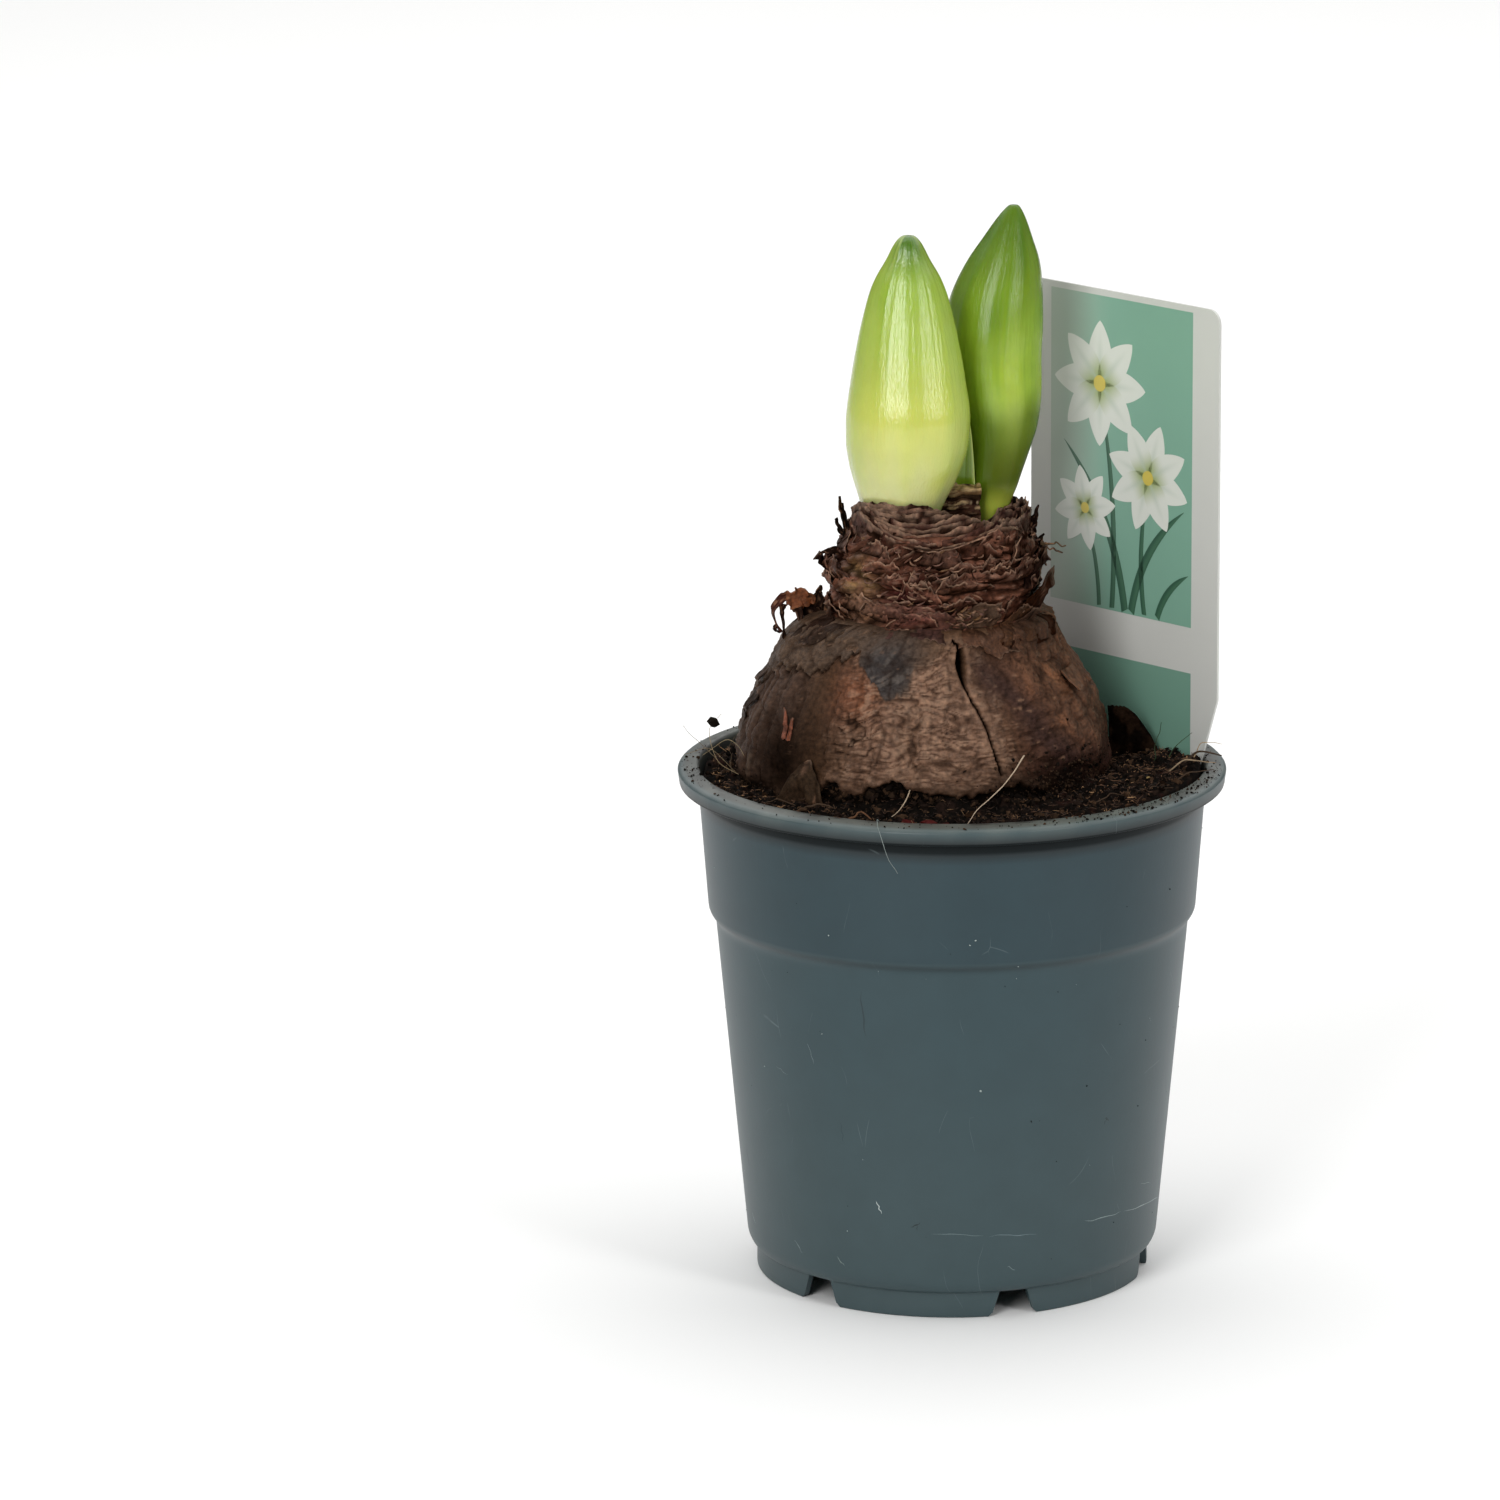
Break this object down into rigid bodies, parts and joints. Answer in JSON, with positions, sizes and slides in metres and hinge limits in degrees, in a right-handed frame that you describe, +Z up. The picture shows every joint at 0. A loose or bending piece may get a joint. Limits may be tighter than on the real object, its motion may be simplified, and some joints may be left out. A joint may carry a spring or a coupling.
{
  "type": "potted amaryllis bulb",
  "caption": "Amaryllis bulb in papery brown skin, sprouting closed flower buds and a leaf tip, in a round plastic grower's pot of peat with an upright plant label.",
  "frame": {"origin": "middle of the pot's footprint on the ground, bottom centre of the bounding box", "axes": "+Z up along the pot's axis; the front, with the front bud, is towards -Y and the label is at the right, +X"},
  "size_m": [0.12, 0.1198, 0.2351],
  "materials": {
    "pot": "blue-grey moulded polypropylene, satin matte",
    "soil": null,
    "bulb": null,
    "bud_front": null,
    "bud_rear": null,
    "leaf": null,
    "label": "printed plastic card, satin gloss"
  },
  "bodies": {
    "root": {"pot": "pot", "soil": "soil", "bulb": "bulb", "bud_front": "bud_front", "bud_rear": "bud_rear", "leaf": "leaf", "label": "label"}
  },
  "joints": []
}
